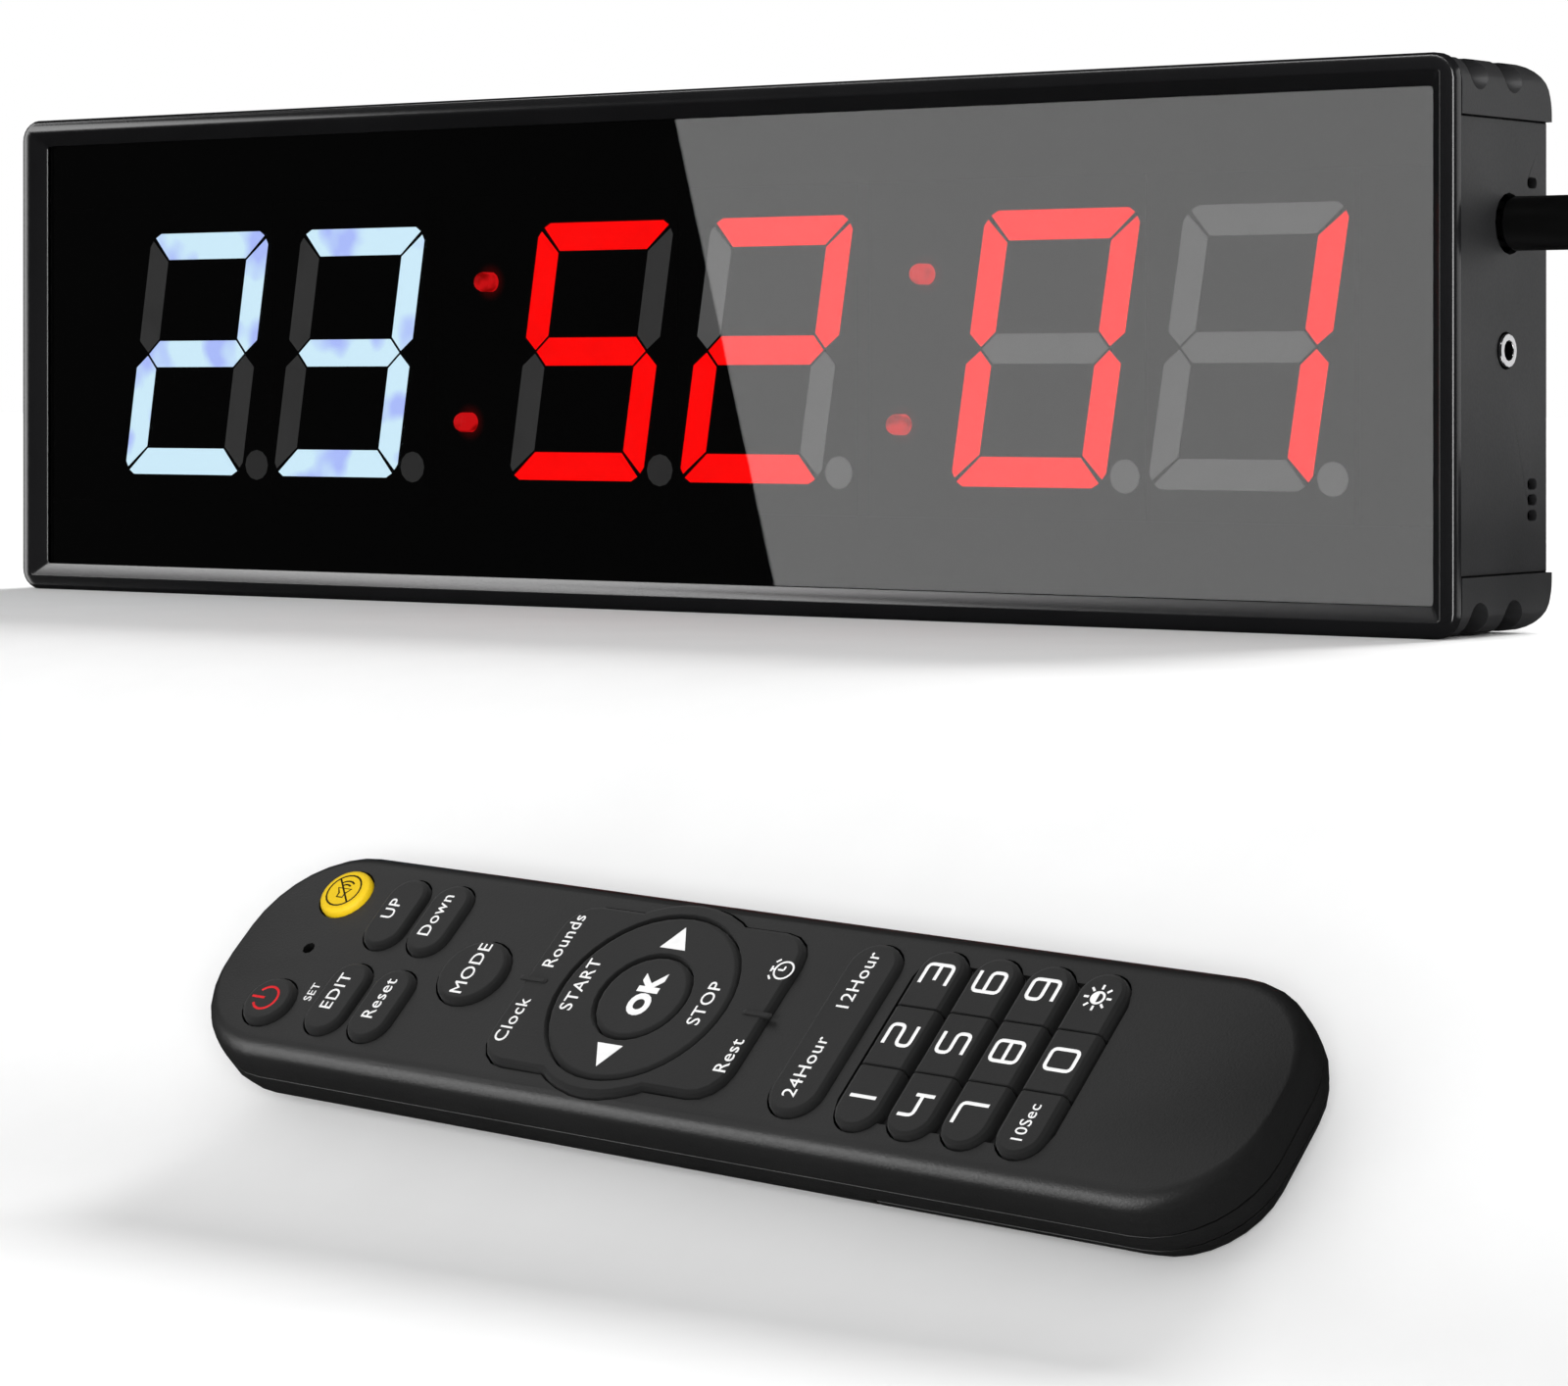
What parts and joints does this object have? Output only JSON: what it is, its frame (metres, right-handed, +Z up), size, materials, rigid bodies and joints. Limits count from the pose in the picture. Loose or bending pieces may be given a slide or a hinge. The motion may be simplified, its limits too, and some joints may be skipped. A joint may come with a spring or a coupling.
{
  "type": "gym round timer",
  "caption": "Wall-hung LED round timer with a slim metal case, six seven-segment digits and colons, a power lead with a plug-in adapter, and an infrared remote with rubber keys.",
  "frame": {"origin": "centre of the display's back face, which lies on the wall", "axes": "+Z up, +X to the right for someone reading the display, so the display faces -Y"},
  "size_m": [0.5435, 0.3756, 0.1809],
  "materials": {
    "frame_metal": "satin anodised black",
    "lens_acrylic": "polished black",
    "casing_metal": "satin powder coat",
    "digit_face": "matt",
    "led_red": "clear tinted",
    "segment_white": "lit, diffuse",
    "segment_red": "lit, diffuse",
    "segment_dark": "unlit, diffuse",
    "circuit_board": "solder mask",
    "black_plastic": "satin",
    "plated_steel": "polished",
    "lead_jacket": "satin",
    "remote_shell": "fine spark texture",
    "key_rubber": "matt silicone",
    "key_yellow": "matt silicone",
    "legend_white": "printed",
    "legend_red": "printed",
    "legend_black": "printed",
    "battery_can": "printed foil"
  },
  "bodies": {
    "display": {"front_frame": "frame_metal", "front_lens": "lens_acrylic", "top_rail": "casing_metal", "bottom_rail": "casing_metal", "corner_top_right": "casing_metal", "corner_top_left": "casing_metal", "corner_bottom_right": "casing_metal", "corner_bottom_left": "casing_metal", "right_end_plate": "casing_metal", "left_end_plate": "casing_metal", "back_cover": "casing_metal", "display_board": "circuit_board", "digit_1": "digit_face", "digit_2": "digit_face", "digit_3": "digit_face", "digit_4": "digit_face", "digit_5": "digit_face", "digit_6": "digit_face", "colon_led_left_upper": "led_red", "colon_led_left_lower": "led_red", "colon_led_right_upper": "led_red", "colon_led_right_lower": "led_red", "power_socket": "black_plastic", "jack_socket": "plated_steel", "buzzer": "black_plastic", "ir_receiver": "black_plastic"},
    "plug": {"power_plug": "black_plastic", "power_lead": "lead_jacket", "lead_coil": "lead_jacket", "power_adapter": "black_plastic"},
    "remote": {"remote_upper_shell": "remote_shell", "remote_lower_shell": "remote_shell", "remote_board": "circuit_board", "remote_ir_led": "black_plastic", "battery_1": "battery_can", "battery_2": "battery_can"},
    "battery_cover": {"battery_cover": "remote_shell"},
    "power_key": {"power_key": "key_rubber"},
    "mute_key": {"mute_key": "key_yellow"},
    "edit_key": {"edit_key": "key_rubber"},
    "up_key": {"up_key": "key_rubber"},
    "reset_key": {"reset_key": "key_rubber"},
    "down_key": {"down_key": "key_rubber"},
    "round_key": {"round_key": "key_rubber"},
    "ok_key": {"ok_key": "key_rubber"},
    "function_pad": {"function_pad": "key_rubber"},
    "nav_ring": {"nav_ring": "key_rubber"},
    "hour_rocker": {"hour_rocker": "key_rubber"},
    "number_key_1": {"number_key_1": "key_rubber"},
    "number_key_2": {"number_key_2": "key_rubber"},
    "number_key_3": {"number_key_3": "key_rubber"},
    "number_key_4": {"number_key_4": "key_rubber"},
    "number_key_5": {"number_key_5": "key_rubber"},
    "number_key_6": {"number_key_6": "key_rubber"},
    "number_key_7": {"number_key_7": "key_rubber"},
    "number_key_8": {"number_key_8": "key_rubber"},
    "number_key_9": {"number_key_9": "key_rubber"},
    "number_key_10": {"number_key_10": "key_rubber"},
    "number_key_11": {"number_key_11": "key_rubber"},
    "number_key_12": {"number_key_12": "key_rubber"}
  },
  "joints": [
    {"name": "remote_lift", "type": "slide", "parent": "display", "child": "remote", "axis": [0, -0.682, 0.7314], "range_m": [0, 0.12]},
    {"name": "plug_pull", "type": "slide", "parent": "display", "child": "plug", "axis": [1, 0, 0], "range_m": [0, 0.02]},
    {"name": "battery_cover_slide", "type": "slide", "parent": "remote", "child": "battery_cover", "axis": [0.9986, -0.0383, -0.0357], "range_m": [0, 0.03]},
    {"name": "power_key_press", "type": "slide", "parent": "remote", "child": "power_key", "axis": [0, 0.682, -0.7314], "range_m": [0, 0.001], "stiffness_N_per_m": 300},
    {"name": "mute_key_press", "type": "slide", "parent": "remote", "child": "mute_key", "axis": [0, 0.682, -0.7314], "range_m": [0, 0.001], "stiffness_N_per_m": 300},
    {"name": "edit_key_press", "type": "slide", "parent": "remote", "child": "edit_key", "axis": [0, 0.682, -0.7314], "range_m": [0, 0.001], "stiffness_N_per_m": 300},
    {"name": "up_key_press", "type": "slide", "parent": "remote", "child": "up_key", "axis": [0, 0.682, -0.7314], "range_m": [0, 0.001], "stiffness_N_per_m": 300},
    {"name": "reset_key_press", "type": "slide", "parent": "remote", "child": "reset_key", "axis": [0, 0.682, -0.7314], "range_m": [0, 0.001], "stiffness_N_per_m": 300},
    {"name": "down_key_press", "type": "slide", "parent": "remote", "child": "down_key", "axis": [0, 0.682, -0.7314], "range_m": [0, 0.001], "stiffness_N_per_m": 300},
    {"name": "round_key_press", "type": "slide", "parent": "remote", "child": "round_key", "axis": [0, 0.682, -0.7314], "range_m": [0, 0.001], "stiffness_N_per_m": 300},
    {"name": "ok_key_press", "type": "slide", "parent": "remote", "child": "ok_key", "axis": [0, 0.682, -0.7314], "range_m": [0, 0.001], "stiffness_N_per_m": 300},
    {"name": "function_pad_press", "type": "slide", "parent": "remote", "child": "function_pad", "axis": [0, 0.682, -0.7314], "range_m": [0, 0.0006], "stiffness_N_per_m": 300},
    {"name": "number_key_1_press", "type": "slide", "parent": "remote", "child": "number_key_1", "axis": [0, 0.682, -0.7314], "range_m": [0, 0.001], "stiffness_N_per_m": 300},
    {"name": "number_key_2_press", "type": "slide", "parent": "remote", "child": "number_key_2", "axis": [0, 0.682, -0.7314], "range_m": [0, 0.001], "stiffness_N_per_m": 300},
    {"name": "number_key_3_press", "type": "slide", "parent": "remote", "child": "number_key_3", "axis": [0, 0.682, -0.7314], "range_m": [0, 0.001], "stiffness_N_per_m": 300},
    {"name": "number_key_4_press", "type": "slide", "parent": "remote", "child": "number_key_4", "axis": [0, 0.682, -0.7314], "range_m": [0, 0.001], "stiffness_N_per_m": 300},
    {"name": "number_key_5_press", "type": "slide", "parent": "remote", "child": "number_key_5", "axis": [0, 0.682, -0.7314], "range_m": [0, 0.001], "stiffness_N_per_m": 300},
    {"name": "number_key_6_press", "type": "slide", "parent": "remote", "child": "number_key_6", "axis": [0, 0.682, -0.7314], "range_m": [0, 0.001], "stiffness_N_per_m": 300},
    {"name": "number_key_7_press", "type": "slide", "parent": "remote", "child": "number_key_7", "axis": [0, 0.682, -0.7314], "range_m": [0, 0.001], "stiffness_N_per_m": 300},
    {"name": "number_key_8_press", "type": "slide", "parent": "remote", "child": "number_key_8", "axis": [0, 0.682, -0.7314], "range_m": [0, 0.001], "stiffness_N_per_m": 300},
    {"name": "number_key_9_press", "type": "slide", "parent": "remote", "child": "number_key_9", "axis": [0, 0.682, -0.7314], "range_m": [0, 0.001], "stiffness_N_per_m": 300},
    {"name": "number_key_10_press", "type": "slide", "parent": "remote", "child": "number_key_10", "axis": [0, 0.682, -0.7314], "range_m": [0, 0.001], "stiffness_N_per_m": 300},
    {"name": "number_key_11_press", "type": "slide", "parent": "remote", "child": "number_key_11", "axis": [0, 0.682, -0.7314], "range_m": [0, 0.001], "stiffness_N_per_m": 300},
    {"name": "number_key_12_press", "type": "slide", "parent": "remote", "child": "number_key_12", "axis": [0, 0.682, -0.7314], "range_m": [0, 0.001], "stiffness_N_per_m": 300},
    {"name": "nav_ring_rock", "type": "hinge", "parent": "remote", "child": "nav_ring", "pos_m": [0.19292, -0.28924, -0.09931], "axis": [0.0523, 0.7304, 0.6811], "range_deg": [-2.5, 2.5], "stiffness_Nm_per_rad": 0.1},
    {"name": "hour_rocker_rock", "type": "hinge", "parent": "remote", "child": "hour_rocker", "pos_m": [0.22867, -0.29061, -0.10058], "axis": [0.9986, -0.0383, -0.0357], "range_deg": [-3.5, 3.5], "stiffness_Nm_per_rad": 0.1}
  ]
}
